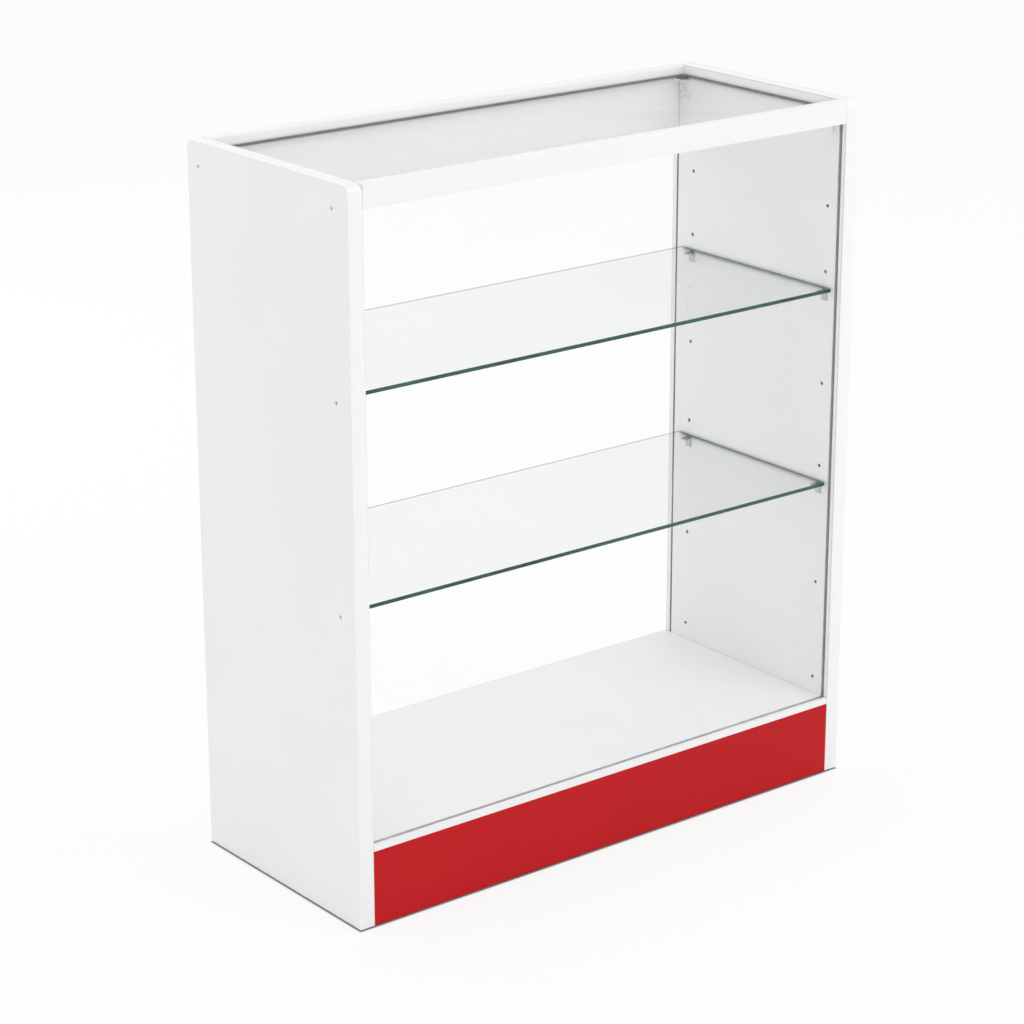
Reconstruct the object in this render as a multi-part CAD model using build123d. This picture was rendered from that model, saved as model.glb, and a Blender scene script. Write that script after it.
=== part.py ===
from build123d import *
import os

# A shop display counter: two side boards, a floor board on kick boards, two top rails with a
# fascia, a fixed front glass, a lift-out top glass and two glass shelves that slide out behind.
# The front faces -Y, the ground is Z = 0 and the middle of the footprint is the origin.
# Lengths are in millimetres.

# Overall size
overall_width = 820.0
overall_depth = 340.0
overall_height = 950.0

# Boards
side_thickness = 22.0
floor_thickness = 18.0
kick_thickness = 16.0
rear_kick_thickness = 16.0
rear_kick_setback = 12.0
edge_band_thickness = 1.0
corner_radius = 10.0
glue_line = 0.05

# Heights above the ground
glide_height = 2.0
kick_top = 103.0
floor_top = 111.0
lower_shelf_top = 423.5
upper_shelf_top = 695.0
top_glass_drop = 12.0

# Top rails and the fascia under the rear rail
front_rail_depth = 18.0
front_rail_height = 30.0
rear_rail_depth = 18.0
rail_edge_radius = 2.5
fascia_thickness = 3.2
fascia_fit = 0.15
fascia_height = 84.0
fascia_tongue = 4.5
rear_groove_setback = 8.0
rear_groove_depth = 6.0
groove_end_gap = 0.5

# Front glass and the channel strips that hold it
front_glass_thickness = 5.0
channel_setback = 6.0
channel_wall = 0.6
channel_fit = 0.1
side_channel_depth = 7.0
floor_channel_depth = 4.5
rail_channel_depth = 6.0
front_glass_end_gap = 0.4

# Loose glass
top_glass_thickness = 5.0
top_glass_gap = 1.5
shelf_thickness = 5.0
shelf_side_gap = 2.0
shelf_front_setback = 16.0
shelf_rear_setback = 23.0
glass_arris = 0.4

# Pin holes in the inner faces
pin_hole_radius = 2.5
pin_hole_depth = 12.0
pin_pitch = 32.0
front_pin_setback = 30.0
rear_pin_setback = 43.0
spare_pin_heights = (135.0, 275.0, 560.0, 805.0)

# Shelf supports, each a bent tab on a pin with a soft pad on top
support_width = 10.0
support_reach = 11.0
support_drop = 13.0
support_sheet = 1.5
support_pin_drop = 7.0
support_pin_length = 11.0
support_pin_clearance = 0.05
support_pad_thickness = 0.8
support_pad_margin = 0.5

# Screws that lock the front shelf supports from outside
lock_screw_radius = 1.45
lock_screw_head_radius = 2.9
lock_screw_recess_reach = 1.7
lock_screw_bite = 6.0

# Angle brackets under the corners of the top glass
bracket_width = 20.0
bracket_leg = 27.0
bracket_reach = 12.0
bracket_sheet = 3.0
bracket_hole_drop = 13.0
front_bracket_setback = 32.0
rear_bracket_setback = 24.0
bracket_pad_thickness = 1.0
bracket_pad_width = 12.0
bracket_pad_reach = 10.0
bracket_screw_radius = 1.45
bracket_screw_head_radius = 2.9
bracket_screw_recess_reach = 1.7

# Screw heads and holes
screw_clearance = 0.1
countersink_clearance = 0.05
recess_width = 0.9
recess_depth = 1.0

# Cam fittings and dowels
cam_radius = 7.4
cam_height = 12.5
cam_edge_distance = 24.0
cam_clearance = 0.1
cam_recess_reach = 4.0
cam_recess_width = 2.0
cam_recess_depth = 1.5
cam_inset = 60.0
kick_cam_height = 60.0
bolt_thread_radius = 2.4
bolt_thread_length = 11.0
bolt_shank_radius = 3.0
bolt_head_radius = 3.6
bolt_head_length = 4.0
bolt_bore_radius = 4.0
dowel_radius = 4.0
dowel_length = 30.0
dowel_offset = 35.0
kick_dowel_height = 28.0
rail_dowel_radius = 3.0
rail_dowel_length = 30.0
rail_dowel_drop = 6.5
rail_dowel_spacing = 8.5
dowel_clearance = 0.05
dowel_end_gap = 0.5

# Corner blocks between the floor board and the kick boards
block_length = 30.0
block_size = 18.0
block_place = 190.0
block_screw_spacing = 14.0
block_screw_radius = 1.6
block_screw_head_radius = 3.2
block_screw_head_height = 1.6
block_screw_bite = 10.0

# Glides nailed under the side boards
glide_radius = 9.0
glide_chamfer = 1.0
glide_inset = 28.0
glide_nail_radius = 1.2
glide_nail_length = 10.0

# Places that follow from the sizes above
half_width = overall_width / 2
inner_half = half_width - side_thickness
front = -overall_depth / 2
back = overall_depth / 2
floor_bottom = floor_top - floor_thickness
floor_middle = floor_top - floor_thickness / 2
rear_kick_back = back - rear_kick_setback
rear_kick_front = rear_kick_back - rear_kick_thickness
front_rail_back = front + front_rail_depth
front_rail_bottom = overall_height - front_rail_height
rear_rail_front = back - rear_rail_depth
top_glass_top = overall_height - top_glass_drop
top_glass_bottom = top_glass_top - top_glass_thickness
channel_width = front_glass_thickness + 2 * (channel_wall + channel_fit)
channel_front = front + channel_setback
channel_back = channel_front + channel_width
channel_bottom = floor_top - floor_channel_depth
channel_top = front_rail_bottom + rail_channel_depth
rear_groove_width = fascia_thickness + 2 * fascia_fit
rear_groove_back = back - rear_groove_setback
rear_groove_front = rear_groove_back - rear_groove_width
fascia_top = top_glass_bottom + fascia_tongue
front_pin_y = front + front_pin_setback
rear_pin_y = back - rear_pin_setback
lower_shelf_bottom = lower_shelf_top - shelf_thickness
upper_shelf_bottom = upper_shelf_top - shelf_thickness
lower_pin_height = lower_shelf_bottom - support_pin_drop
upper_pin_height = upper_shelf_bottom - support_pin_drop
lock_screw_length = side_thickness - support_pin_length + lock_screw_bite
bracket_top = top_glass_bottom - bracket_pad_thickness
bracket_hole_height = bracket_top - bracket_hole_drop
bracket_places = (front + front_bracket_setback, back - rear_bracket_setback)
kick_middle = front + kick_thickness / 2
rear_kick_middle = rear_kick_front + rear_kick_thickness / 2
bolt_reach = cam_edge_distance + bolt_head_length / 2

# Cams of the left side, each with its bolt's place and its open face's place along Y and Z,
# and the way that the open face looks
floor_cam_places = (front + cam_inset, back - cam_inset)
cam_joints = (
    ((floor_cam_places[0], floor_middle), (floor_cam_places[0], floor_bottom), (0, 0, -1)),
    ((floor_cam_places[1], floor_middle), (floor_cam_places[1], floor_bottom), (0, 0, -1)),
    ((kick_middle, kick_cam_height), (front + kick_thickness, kick_cam_height), (0, 1, 0)),
    ((rear_kick_middle, kick_cam_height), (rear_kick_front, kick_cam_height), (0, -1, 0)),
)

# Dowels of the left side, each with its place along Y and Z
floor_dowel_places = (floor_cam_places[0] + dowel_offset, floor_cam_places[1] - dowel_offset)
dowel_joints = (
    (floor_dowel_places[0], floor_middle),
    (floor_dowel_places[1], floor_middle),
    (kick_middle, kick_dowel_height),
    (rear_kick_middle, kick_dowel_height),
)
rail_dowel_height = overall_height - rail_dowel_drop
front_rail_dowels = (
    (front + front_rail_depth / 2, rail_dowel_height),
    (front + front_rail_depth / 2, rail_dowel_height - rail_dowel_spacing),
)
rear_rail_dowels = ((back - rear_rail_depth / 2, rail_dowel_height),)
rail_dowel_joints = front_rail_dowels + rear_rail_dowels


def block(xs, ys, zs):
    """A box between two places along each axis."""
    middle = Pos((xs[0] + xs[1]) / 2, (ys[0] + ys[1]) / 2, (zs[0] + zs[1]) / 2)
    return middle * Box(abs(xs[1] - xs[0]), abs(ys[1] - ys[0]), abs(zs[1] - zs[0]))


def rod_x(radius, xs, y, z):
    """A round bar along X between two places."""
    return Pos((xs[0] + xs[1]) / 2, y, z) * Rot(0, 90, 0) * Cylinder(radius, abs(xs[1] - xs[0]))


def cone_x(radii, xs, y, z):
    """A cone along X between two places, with its radius at each."""
    return Pos((xs[0] + xs[1]) / 2, y, z) * Rot(0, 90, 0) * Cone(*radii, xs[1] - xs[0])


def rod_y(radius, x, ys, z):
    """A round bar along Y between two places."""
    return Pos(x, (ys[0] + ys[1]) / 2, z) * Rot(90, 0, 0) * Cylinder(radius, abs(ys[1] - ys[0]))


def rod_z(radius, x, y, zs):
    """A round bar along Z between two places."""
    return Pos(x, y, (zs[0] + zs[1]) / 2) * Cylinder(radius, abs(zs[1] - zs[0]))


def mirrored(part):
    """The same piece on the other side of the counter."""
    return mirror(part, about=Plane.YZ)


def group(parts):
    """Separate solids that share one node."""
    return Compound(children=[solid for part in parts for solid in part.solids()])


def both_sides(parts):
    """Left-hand pieces and their mirror images as one group."""
    return group(list(parts) + [mirrored(part) for part in parts])


def side_outline(inset):
    """The outline of a side seen along X, drawn in by inset at the front, top and back."""
    top = overall_height - inset
    sheet = Rectangle(overall_depth - 2 * inset, top - glide_height)
    face = Plane.YZ * (Pos(0, (top + glide_height) / 2) * sheet)
    corners = face.vertices().group_by(Axis.Z)[-1]
    return fillet(corners, corner_radius - inset)


def pin_heights():
    """Heights of every pin hole: those in use, one step above each, and the spares."""
    used = (lower_pin_height, upper_pin_height)
    stepped = tuple(height + pin_pitch for height in used)
    return used + stepped + spare_pin_heights


def countersunk_hole(radius, head_radius, y, z, length):
    """The cut for a countersunk screw that enters the left outer face."""
    bore = radius + screw_clearance
    mouth = head_radius + countersink_clearance
    hole = rod_x(bore, (-half_width, -half_width + length), y, z)
    return hole + cone_x((mouth, bore), (-half_width, -half_width + mouth - bore), y, z)


def countersunk_screw(radius, head_radius, recess_reach, y, z, length):
    """A countersunk screw with a cross recess, entered from the left outer face."""
    neck = -half_width + head_radius - radius
    screw = cone_x((head_radius, radius), (-half_width, neck), y, z)
    screw += rod_x(radius, (neck, -half_width + length), y, z)
    recess = (-half_width, -half_width + recess_depth)
    half = recess_width / 2
    screw -= block(recess, (y - recess_reach, y + recess_reach), (z - half, z + half))
    screw -= block(recess, (y - half, y + half), (z - recess_reach, z + recess_reach))
    return screw


def blind_holes(radius, depth, places):
    """Cuts for round holes of one size in the left side's inner face, at places along Y and Z."""
    return [rod_x(radius, (-inner_half - depth, -inner_half), y, z) for y, z in places]


def side_panel():
    """The left side board with its grooves and every hole."""
    inset = edge_band_thickness + glue_line
    board = extrude(side_outline(inset), amount=side_thickness)
    board = Pos(-half_width, 0, 0) * board
    groove = (-inner_half - side_channel_depth, -inner_half)
    board -= block(groove, (channel_front, channel_back), (channel_bottom, channel_top))
    groove = (-inner_half - rear_groove_depth, -inner_half)
    board -= block(groove, (rear_groove_front, rear_groove_back), (floor_top, fascia_top + groove_end_gap))
    pin_places = [(y, z) for z in pin_heights() for y in (front_pin_y, rear_pin_y)]
    board -= blind_holes(pin_hole_radius, pin_hole_depth, pin_places)
    joints = (
        (bolt_thread_radius, bolt_thread_length, [bolt for bolt, _, _ in cam_joints]),
        (dowel_radius, dowel_length / 2, dowel_joints),
        (rail_dowel_radius, rail_dowel_length / 2, rail_dowel_joints),
    )
    for radius, bite, places in joints:
        board -= blind_holes(radius + dowel_clearance, bite + dowel_end_gap, places)
    for y in bracket_places:
        board -= countersunk_hole(
            bracket_screw_radius, bracket_screw_head_radius, y, bracket_hole_height, side_thickness
        )
    for z in (lower_pin_height, upper_pin_height):
        board -= countersunk_hole(
            lock_screw_radius, lock_screw_head_radius, front_pin_y, z, side_thickness - support_pin_length
        )
    for y in (front + glide_inset, back - glide_inset):
        nail = (glide_height, glide_height + glide_nail_length + dowel_end_gap)
        board -= rod_z(glide_nail_radius + dowel_clearance, -half_width + side_thickness / 2, y, nail)
    return board


def edge_band():
    """The strip round the front, top and back edge of the left side board."""
    strip = side_outline(0) - side_outline(edge_band_thickness)
    return Pos(-half_width, 0, 0) * extrude(strip, amount=side_thickness)


def floor_board():
    """The floor board, with a tongue over the front kick and a groove for the glass channel."""
    board = block(
        (-inner_half, inner_half),
        (front + kick_thickness, back - edge_band_thickness),
        (floor_bottom, floor_top),
    )
    board += block(
        (-inner_half, inner_half),
        (front + edge_band_thickness, front + kick_thickness),
        (kick_top, floor_top),
    )
    board -= block((-inner_half, inner_half), (channel_front, channel_back), (channel_bottom, floor_top))
    for side in (-1, 1):
        edge = side * inner_half
        for y in floor_cam_places:
            board -= rod_x(bolt_bore_radius, (edge, edge - side * cam_edge_distance), y, floor_middle)
            middle = edge - side * cam_edge_distance
            pocket = (floor_bottom, floor_bottom + cam_height + cam_clearance)
            board -= rod_z(cam_radius + cam_clearance, middle, y, pocket)
        for y in floor_dowel_places:
            depth = dowel_length / 2 + dowel_end_gap
            board -= rod_x(dowel_radius + dowel_clearance, (edge, edge - side * depth), y, floor_middle)
    for x in block_screw_places(1):
        for y in (front + kick_thickness + block_size / 2, rear_kick_front - block_size / 2):
            pilot = (floor_bottom, floor_bottom + block_screw_bite + dowel_end_gap)
            board -= rod_z(block_screw_radius + dowel_clearance, x, y, pilot)
    return board


def floor_edge_band_front():
    """The strip on the front edge of the floor board's tongue."""
    return block((-inner_half, inner_half), (front, front + edge_band_thickness), (kick_top, floor_top))


def floor_edge_band_rear():
    """The strip on the rear edge of the floor board."""
    return block((-inner_half, inner_half), (back - edge_band_thickness, back), (floor_bottom, floor_top))


def block_screw_places(way):
    """Places along X of the corner blocks' screws: way 1 is the upward one, -1 the level one."""
    offset = way * block_screw_spacing / 2
    return (-block_place + offset, block_place + offset)


def kick_board(ys, top, middle, cam_face, inward):
    """A kick board between the sides, with its cam pockets, dowel holes and pilot holes.

    The cam pockets open on the face at cam_face, and inward is the way that face looks along Y.
    """
    board = block((-inner_half, inner_half), ys, (glide_height, top))
    for side in (-1, 1):
        edge = side * inner_half
        inner = edge - side * cam_edge_distance
        board -= rod_x(bolt_bore_radius, (edge, inner), middle, kick_cam_height)
        pocket = (cam_face, cam_face - inward * (cam_height + cam_clearance))
        board -= rod_y(cam_radius + cam_clearance, inner, pocket, kick_cam_height)
        depth = dowel_length / 2 + dowel_end_gap
        board -= rod_x(dowel_radius + dowel_clearance, (edge, edge - side * depth), middle, kick_dowel_height)
    pilot = (cam_face, cam_face - inward * (block_screw_bite + dowel_end_gap))
    for x in block_screw_places(-1):
        height = floor_bottom - block_size / 2
        board -= rod_y(block_screw_radius + dowel_clearance, x, pilot, height)
    return board


def front_rail():
    """The front top rail, rounded along its upper edges, grooved below for the glass channel."""
    rail = block((-inner_half, inner_half), (front, front_rail_back), (front_rail_bottom, overall_height))
    upper = rail.edges().filter_by(Axis.X).group_by(Axis.Z)[-1]
    rail = fillet(upper, rail_edge_radius)
    rail -= block((-inner_half, inner_half), (channel_front, channel_back), (front_rail_bottom, channel_top))
    return rail - rail_dowel_holes(front_rail_dowels)


def rear_rail():
    """The rear top rail, with a slot below for the fascia."""
    rail = block((-inner_half, inner_half), (rear_rail_front, back), (top_glass_bottom, overall_height))
    upper = rail.edges().filter_by(Axis.X).group_by(Axis.Z)[-1]
    rail = fillet(upper, rail_edge_radius)
    slot = (top_glass_bottom, fascia_top + groove_end_gap)
    rail -= block((-inner_half, inner_half), (rear_groove_front, rear_groove_back), slot)
    return rail - rail_dowel_holes(rear_rail_dowels)


def rail_dowel_holes(places):
    """Cuts for the dowels in both ends of a rail, at places along Y and Z."""
    depth = rail_dowel_length / 2 + dowel_end_gap
    radius = rail_dowel_radius + dowel_clearance
    return [
        rod_x(radius, (edge, edge - way * depth), y, z)
        for edge, way in ((-inner_half, -1), (inner_half, 1))
        for y, z in places
    ]


def rear_fascia():
    """The thin board under the rear rail, held in the rear grooves."""
    half = inner_half + rear_groove_depth - groove_end_gap
    ys = (rear_groove_front + fascia_fit, rear_groove_back - fascia_fit)
    return block((-half, half), ys, (fascia_top - fascia_height, fascia_top))


def side_channel():
    """The upright channel strip in the left groove, open towards the glass."""
    outer = -inner_half - side_channel_depth
    strip = block((outer, -inner_half), (channel_front, channel_back), (channel_bottom, channel_top))
    inside = (channel_front + channel_wall, channel_back - channel_wall)
    return strip - block((outer + channel_wall, -inner_half), inside, (channel_bottom, channel_top))


def floor_channel():
    """The channel strip let into the floor board, open upwards."""
    strip = block((-inner_half, inner_half), (channel_front, channel_back), (channel_bottom, floor_top))
    inside = (channel_front + channel_wall, channel_back - channel_wall)
    return strip - block((-inner_half, inner_half), inside, (channel_bottom + channel_wall, floor_top))


def rail_channel():
    """The channel strip let into the front rail, open downwards."""
    strip = block((-inner_half, inner_half), (channel_front, channel_back), (front_rail_bottom, channel_top))
    inside = (channel_front + channel_wall, channel_back - channel_wall)
    return strip - block((-inner_half, inner_half), inside, (front_rail_bottom, channel_top - channel_wall))


def glass_pane(xs, ys, zs):
    """A pane with its sharp edges lightly broken."""
    pane = block(xs, ys, zs)
    return chamfer(pane.edges(), glass_arris)


def front_glass():
    """The fixed front pane, seated in the four channel strips."""
    half = inner_half + side_channel_depth - channel_wall - front_glass_end_gap
    lip = channel_wall + channel_fit
    ys = (channel_front + lip, channel_back - lip)
    zs = (channel_bottom + channel_wall, channel_top - channel_wall - front_glass_end_gap)
    return glass_pane((-half, half), ys, zs)


def top_glass():
    """The top pane, which lies on the corner brackets between the rails."""
    half = inner_half - top_glass_gap
    ys = (front_rail_back + top_glass_gap, rear_rail_front - top_glass_gap)
    return glass_pane((-half, half), ys, (top_glass_bottom, top_glass_top))


def shelf(top):
    """A glass shelf with its upper face at the height top."""
    half = inner_half - shelf_side_gap
    ys = (front + shelf_front_setback, back - shelf_rear_setback)
    return glass_pane((-half, half), ys, (top - shelf_thickness, top))


def shelf_support(y, shelf_bottom):
    """A left-hand support: a pin in the board, a tab down it and a tab out under the shelf."""
    top = shelf_bottom - support_pad_thickness
    ys = (y - support_width / 2, y + support_width / 2)
    tab = block((-inner_half, -inner_half + support_reach), ys, (top - support_sheet, top))
    tab += block((-inner_half, -inner_half + support_sheet), ys, (top - support_drop, top))
    z = shelf_bottom - support_pin_drop
    end = -inner_half - support_pin_length
    tab += rod_x(pin_hole_radius - support_pin_clearance, (end, -inner_half), y, z)
    bore = (end, end + lock_screw_bite + dowel_end_gap)
    return tab - rod_x(lock_screw_radius + screw_clearance, bore, y, z)


def shelf_supports():
    """All the supports of both shelves."""
    left = [
        shelf_support(y, bottom)
        for bottom in (lower_shelf_bottom, upper_shelf_bottom)
        for y in (front_pin_y, rear_pin_y)
    ]
    return both_sides(left)


def shelf_support_pads():
    """The soft pads between the supports and the shelves."""
    half = support_width / 2 - support_pad_margin
    xs = (-inner_half + shelf_side_gap, -inner_half + support_reach - support_pad_margin)
    left = [
        block(xs, (y - half, y + half), (bottom - support_pad_thickness, bottom))
        for bottom in (lower_shelf_bottom, upper_shelf_bottom)
        for y in (front_pin_y, rear_pin_y)
    ]
    return both_sides(left)


def shelf_lock_screws():
    """The screws that hold the front supports from outside."""
    head = (lock_screw_head_radius, lock_screw_recess_reach)
    left = [
        countersunk_screw(lock_screw_radius, *head, front_pin_y, z, lock_screw_length)
        for z in (lower_pin_height, upper_pin_height)
    ]
    return both_sides(left)


def top_glass_bracket(y):
    """A left-hand angle bracket with a tapped hole for its screw."""
    ys = (y - bracket_width / 2, y + bracket_width / 2)
    angle = block((-inner_half, -inner_half + bracket_sheet), ys, (bracket_top - bracket_leg, bracket_top))
    angle += block((-inner_half, -inner_half + bracket_reach), ys, (bracket_top - bracket_sheet, bracket_top))
    hole = (-inner_half, -inner_half + bracket_sheet)
    return angle - rod_x(bracket_screw_radius + screw_clearance, hole, y, bracket_hole_height)


def top_glass_brackets():
    """The four angle brackets under the top glass."""
    return both_sides([top_glass_bracket(y) for y in bracket_places])


def top_glass_pads():
    """The soft pads between the brackets and the top glass."""
    half = bracket_pad_width / 2
    xs = (-inner_half + bracket_reach - bracket_pad_reach, -inner_half + bracket_reach)
    left = [block(xs, (y - half, y + half), (bracket_top, top_glass_bottom)) for y in bracket_places]
    return both_sides(left)


def bracket_screws():
    """The screws that hold the angle brackets from outside."""
    head = (bracket_screw_head_radius, bracket_screw_recess_reach)
    length = side_thickness + bracket_sheet
    left = [
        countersunk_screw(bracket_screw_radius, *head, y, bracket_hole_height, length)
        for y in bracket_places
    ]
    return both_sides(left)


def cam(bolt, face, way):
    """A left-hand cam whose open face, at the place face, looks along way.

    A channel lets in the head of the bolt, and a cross recess takes the driver.
    """
    depth = abs(face[0] - bolt[0]) + abs(face[1] - bolt[1])
    body = rod_z(cam_radius, 0, 0, (-cam_height, 0))
    channel_end = bolt_head_length / 2 + dowel_end_gap
    body -= rod_x(bolt_bore_radius, (-cam_radius, channel_end), 0, -depth)
    half = cam_recess_width / 2
    recess = (-cam_recess_depth, 0)
    body -= block((-cam_recess_reach, cam_recess_reach), (-half, half), recess)
    body -= block((-half, half), (-cam_recess_reach, cam_recess_reach), recess)
    seat = Plane(origin=(-inner_half + cam_edge_distance, *face), x_dir=(1, 0, 0), z_dir=way)
    return seat * body


def cams():
    """Every cam of the floor board and the kick boards."""
    return both_sides([cam(bolt, face, way) for bolt, face, way in cam_joints])


def cam_bolt(y, z):
    """A left-hand bolt: its thread in the side board, its head in the cam."""
    bolt = rod_x(bolt_thread_radius, (-inner_half - bolt_thread_length, -inner_half), y, z)
    neck = -inner_half + bolt_reach - bolt_head_length
    bolt += rod_x(bolt_shank_radius, (-inner_half, neck), y, z)
    bolt += rod_x(bolt_head_radius, (neck, -inner_half + bolt_reach), y, z)
    return bolt


def cam_bolts():
    """The bolts of all the cams."""
    return both_sides([cam_bolt(*bolt) for bolt, _, _ in cam_joints])


def dowels_at(radius, length, places):
    """Dowels of one size on both sides, each half in its side board, at places along Y and Z."""
    xs = (-inner_half - length / 2, -inner_half + length / 2)
    return both_sides([rod_x(radius, xs, y, z) for y, z in places])


def corner_block(x, kick_face, inward):
    """A block in the corner of the floor board and the kick board whose face is at kick_face."""
    xs = (x - block_length / 2, x + block_length / 2)
    solid = block(xs, (kick_face, kick_face + inward * block_size), (floor_bottom - block_size, floor_bottom))
    level = floor_bottom - block_size / 2
    middle = kick_face + inward * block_size / 2
    radius = block_screw_radius + screw_clearance
    solid -= rod_z(radius, x + block_screw_spacing / 2, middle, (floor_bottom - block_size, floor_bottom))
    solid -= rod_y(radius, x - block_screw_spacing / 2, (kick_face, kick_face + inward * block_size), level)
    return solid


def block_sites():
    """Where each corner block stands: its place along X, its kick board's face and the way in."""
    return [
        (x, face, inward)
        for x in (-block_place, block_place)
        for face, inward in ((front + kick_thickness, 1), (rear_kick_front, -1))
    ]


def corner_blocks():
    """The four corner blocks."""
    return group([corner_block(x, face, inward) for x, face, inward in block_sites()])


def block_screws():
    """Two screws in each corner block: one up into the floor board, one into the kick board."""
    screws = []
    for x, face, inward in block_sites():
        middle = face + inward * block_size / 2
        low = floor_bottom - block_size
        upright = x + block_screw_spacing / 2
        screw = rod_z(block_screw_radius, upright, middle, (low, floor_bottom + block_screw_bite))
        screw += rod_z(block_screw_head_radius, upright, middle, (low - block_screw_head_height, low))
        screws.append(screw)
        near = face + inward * block_size
        level = x - block_screw_spacing / 2
        height = floor_bottom - block_size / 2
        head = (near, near + inward * block_screw_head_height)
        screw = rod_y(block_screw_radius, level, (near, face - inward * block_screw_bite), height)
        screw += rod_y(block_screw_head_radius, level, head, height)
        screws.append(screw)
    return group(screws)


def glides():
    """The four glides under the side boards, each a disc on a nail."""
    left = []
    x = -half_width + side_thickness / 2
    for y in (front + glide_inset, back - glide_inset):
        disc = rod_z(glide_radius, x, y, (0, glide_height))
        disc = chamfer(disc.edges().group_by(Axis.Z)[0], glide_chamfer)
        left.append(disc + rod_z(glide_nail_radius, x, y, (glide_height, glide_height + glide_nail_length)))
    return both_sides(left)


def pieces():
    """Every node of the counter by name."""
    left_side = side_panel()
    left_band = edge_band()
    left_channel = side_channel()
    kick_face = front + kick_thickness
    return {
        "side_panel_left": left_side,
        "side_panel_right": mirrored(left_side),
        "edge_band_left": left_band,
        "edge_band_right": mirrored(left_band),
        "floor_board": floor_board(),
        "floor_edge_band_front": floor_edge_band_front(),
        "floor_edge_band_rear": floor_edge_band_rear(),
        "kick_front": kick_board((front, kick_face), kick_top, kick_middle, kick_face, 1),
        "kick_rear": kick_board(
            (rear_kick_front, rear_kick_back), floor_bottom, rear_kick_middle, rear_kick_front, -1
        ),
        "front_rail": front_rail(),
        "rear_rail": rear_rail(),
        "rear_fascia": rear_fascia(),
        "glass_channel_left": left_channel,
        "glass_channel_right": mirrored(left_channel),
        "glass_channel_bottom": floor_channel(),
        "glass_channel_top": rail_channel(),
        "front_glass": front_glass(),
        "top_glass": top_glass(),
        "upper_shelf": shelf(upper_shelf_top),
        "lower_shelf": shelf(lower_shelf_top),
        "shelf_supports": shelf_supports(),
        "shelf_support_pads": shelf_support_pads(),
        "shelf_lock_screws": shelf_lock_screws(),
        "top_glass_brackets": top_glass_brackets(),
        "top_glass_pads": top_glass_pads(),
        "bracket_screws": bracket_screws(),
        "cams": cams(),
        "cam_bolts": cam_bolts(),
        "dowels": dowels_at(dowel_radius, dowel_length, dowel_joints),
        "rail_dowels": dowels_at(rail_dowel_radius, rail_dowel_length, rail_dowel_joints),
        "corner_blocks": corner_blocks(),
        "block_screws": block_screws(),
        "glides": glides(),
    }


os.makedirs("parts", exist_ok=True)
for name, shape in pieces().items():
    export_step(shape, f"parts/{name}.step")
    print(f"{name}: {len(shape.solids())} solids, {shape.volume / 1000:.1f} cm3")
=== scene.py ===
"""Looks of a shop display counter: finishes, glass panes, edge bands, light and camera."""

import logging
import math
from abc import ABC, abstractmethod
from dataclasses import dataclass, field
from enum import Enum
from typing import ClassVar, Iterable, Optional, Sequence, Union

import bmesh
import bpy
from mathutils import Matrix, Vector


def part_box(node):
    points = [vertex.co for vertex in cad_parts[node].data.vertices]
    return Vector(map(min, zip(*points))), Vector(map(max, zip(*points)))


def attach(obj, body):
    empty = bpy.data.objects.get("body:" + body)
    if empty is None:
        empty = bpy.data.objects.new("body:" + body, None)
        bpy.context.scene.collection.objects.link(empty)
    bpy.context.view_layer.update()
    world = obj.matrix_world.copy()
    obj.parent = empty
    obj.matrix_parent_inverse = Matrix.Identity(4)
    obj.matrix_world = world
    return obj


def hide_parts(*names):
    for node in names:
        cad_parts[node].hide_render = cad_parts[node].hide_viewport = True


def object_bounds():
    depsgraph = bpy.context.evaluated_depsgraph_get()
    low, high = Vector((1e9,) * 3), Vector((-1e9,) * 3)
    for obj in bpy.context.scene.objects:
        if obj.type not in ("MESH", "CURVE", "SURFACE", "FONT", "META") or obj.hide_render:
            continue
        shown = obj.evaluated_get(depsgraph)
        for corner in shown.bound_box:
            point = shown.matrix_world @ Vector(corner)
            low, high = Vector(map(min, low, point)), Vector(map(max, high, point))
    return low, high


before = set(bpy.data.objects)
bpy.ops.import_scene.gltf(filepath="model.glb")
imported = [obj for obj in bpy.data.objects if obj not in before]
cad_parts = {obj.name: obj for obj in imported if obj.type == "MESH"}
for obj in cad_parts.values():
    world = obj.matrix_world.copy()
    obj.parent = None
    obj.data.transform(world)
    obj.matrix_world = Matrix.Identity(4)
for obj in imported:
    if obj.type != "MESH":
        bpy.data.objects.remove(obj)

CAD_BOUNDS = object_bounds()
INNER_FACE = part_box("side_panel_right")[0].x
MM = 0.001
LOG = logging.getLogger("display_counter")

Socket = bpy.types.NodeSocket
Value = Union[float, Sequence[float], Socket]
Colour = tuple[float, float, float]
Triple = tuple[float, float, float]
Pair = tuple[float, float]

PURE_WHITE: Colour = (1.0, 1.0, 1.0)
BOARD_WHITE: Colour = (0.875, 0.875, 0.88)
BAND_WHITE: Colour = (0.875, 0.875, 0.878)
WORN_WHITE: Colour = (0.74, 0.73, 0.71)
SHELF_CLEAR: Colour = (0.957, 0.964, 0.961)
EVEN: Triple = (1.0, 1.0, 1.0)
NOISE_SPREAD: Pair = (0.3, 0.7)
QUARTER_TURN = math.pi / 2


def scaled(colour: Colour, factor: float) -> Colour:
    """A colour times a factor."""
    return tuple(part * factor for part in colour)


@dataclass(frozen=True)
class Box:
    """An upright box in the frame, in metres."""

    lo: Vector
    hi: Vector

    @classmethod
    def of(cls, node: str) -> "Box":
        """The box round one node at rest."""
        return cls(*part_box(node))

    @property
    def centre(self) -> Vector:
        """The middle of the box."""
        return (self.lo + self.hi) / 2

    @property
    def size(self) -> Vector:
        """The lengths of the box's sides."""
        return self.hi - self.lo


class Axis(Enum):
    """An axis of the frame."""

    X = 0
    Y = 1
    Z = 2


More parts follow.
